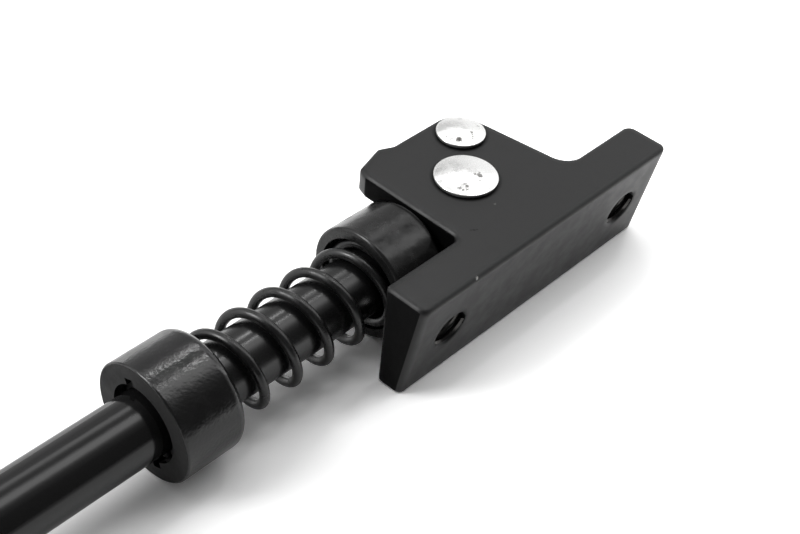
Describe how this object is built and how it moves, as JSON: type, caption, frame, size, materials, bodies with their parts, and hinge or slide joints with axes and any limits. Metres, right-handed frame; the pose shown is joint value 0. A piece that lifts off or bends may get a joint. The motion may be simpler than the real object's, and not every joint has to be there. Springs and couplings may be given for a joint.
{
  "type": "electric scooter kickstand",
  "caption": "Side stand for an electric scooter: a bolt-on bracket with two ears, and a spring-loaded round leg that swings out and is held by a sliding cup.",
  "frame": {"origin": "centre of the tilted mounting face, midway between the two bolt holes and level with the leg's axis", "axes": "+X runs along the flange away from the leg's foot, +Z is the side with the rivet heads, and -Y faces the scooter"},
  "size_m": [0.2608, 0.0487, 0.0322],
  "materials": {
    "bracket_paint": "satin black paint on a casting, with an even fine grain",
    "rivet_steel": "bright plated steel, dented by the rivet press",
    "bush_steel": "turned steel",
    "washer_plastic": "matt black nylon",
    "leg_paint": "gloss black paint",
    "cup_paint": "gloss black paint",
    "spring_steel": "black-coated spring wire",
    "collar_paint": "black paint with a slight orange peel",
    "pin_steel": "blackened steel",
    "foot_rubber": "moulded black rubber"
  },
  "bodies": {
    "bracket": {"bracket": "bracket_paint", "pivot_rivet": "rivet_steel", "stop_rivet": "rivet_steel"},
    "leg": {"leg_rod": "leg_paint", "pivot_bush": "bush_steel", "pivot_washer_upper": "washer_plastic", "pivot_washer_lower": "washer_plastic", "stop_collar": "collar_paint", "collar_pin": "pin_steel", "spring": "spring_steel", "foot_cap": "foot_rubber"},
    "cup": {"sliding_cup": "cup_paint"}
  },
  "joints": [
    {"name": "leg_swing", "type": "hinge", "parent": "bracket", "child": "leg", "pos_m": [-0.0033, 0.0238, 0], "axis": [0, 0, -1], "range_deg": [0, 90]},
    {"name": "cup_slide", "type": "slide", "parent": "leg", "child": "cup", "axis": [-1, 0, 0], "range_m": [0, 0.0181], "deforming": ["spring"]}
  ],
  "couplings": [
    {"joint": "cup_slide", "follows": "leg_swing", "m_per_rad": 0.0115}
  ]
}
